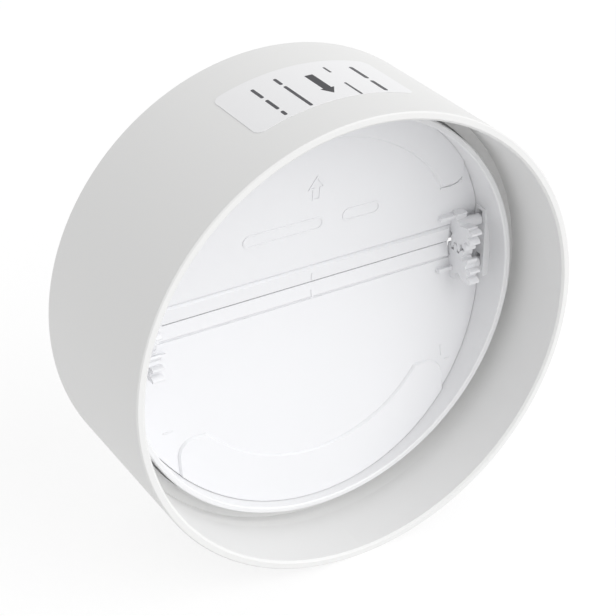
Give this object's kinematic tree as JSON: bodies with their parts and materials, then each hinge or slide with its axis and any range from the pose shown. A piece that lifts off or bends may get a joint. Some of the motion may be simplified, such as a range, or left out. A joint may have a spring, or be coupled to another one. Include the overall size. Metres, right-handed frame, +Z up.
{
  "type": "duct backdraft damper",
  "caption": "Round plastic duct sleeve with an inner ring and gear-coupled half-disc flaps that open with the air flow and close by weight.",
  "frame": {"origin": "on the duct axis at the middle of the sleeve's length", "axes": "+Y along the duct axis towards the inlet, -Y towards the outlet, +Z up as installed, +X along the hinge lines"},
  "size_m": [0.156, 0.062, 0.1563],
  "materials": {
    "sleeve": "satin white moulding",
    "ring": "smooth white moulding",
    "flap": "smooth, slightly translucent white moulding",
    "label": "white film sticker with dark print"
  },
  "bodies": {
    "housing": {"duct_sleeve": "sleeve", "damper_ring": "ring", "direction_label": "label"},
    "upper_flap": {"upper_flap": "flap"},
    "lower_flap": {"lower_flap": "flap"}
  },
  "joints": [
    {"name": "lower_flap_hinge", "type": "hinge", "parent": "housing", "child": "lower_flap", "pos_m": [0, 0.003, -0.0033], "axis": [-1, 0, 0], "range_deg": [0, 80]},
    {"name": "upper_flap_hinge", "type": "hinge", "parent": "housing", "child": "upper_flap", "pos_m": [0, 0.003, 0.0129], "axis": [1, 0, 0], "range_deg": [0, 80]}
  ],
  "couplings": [
    {"joint": "upper_flap_hinge", "follows": "lower_flap_hinge", "ratio": 1}
  ]
}
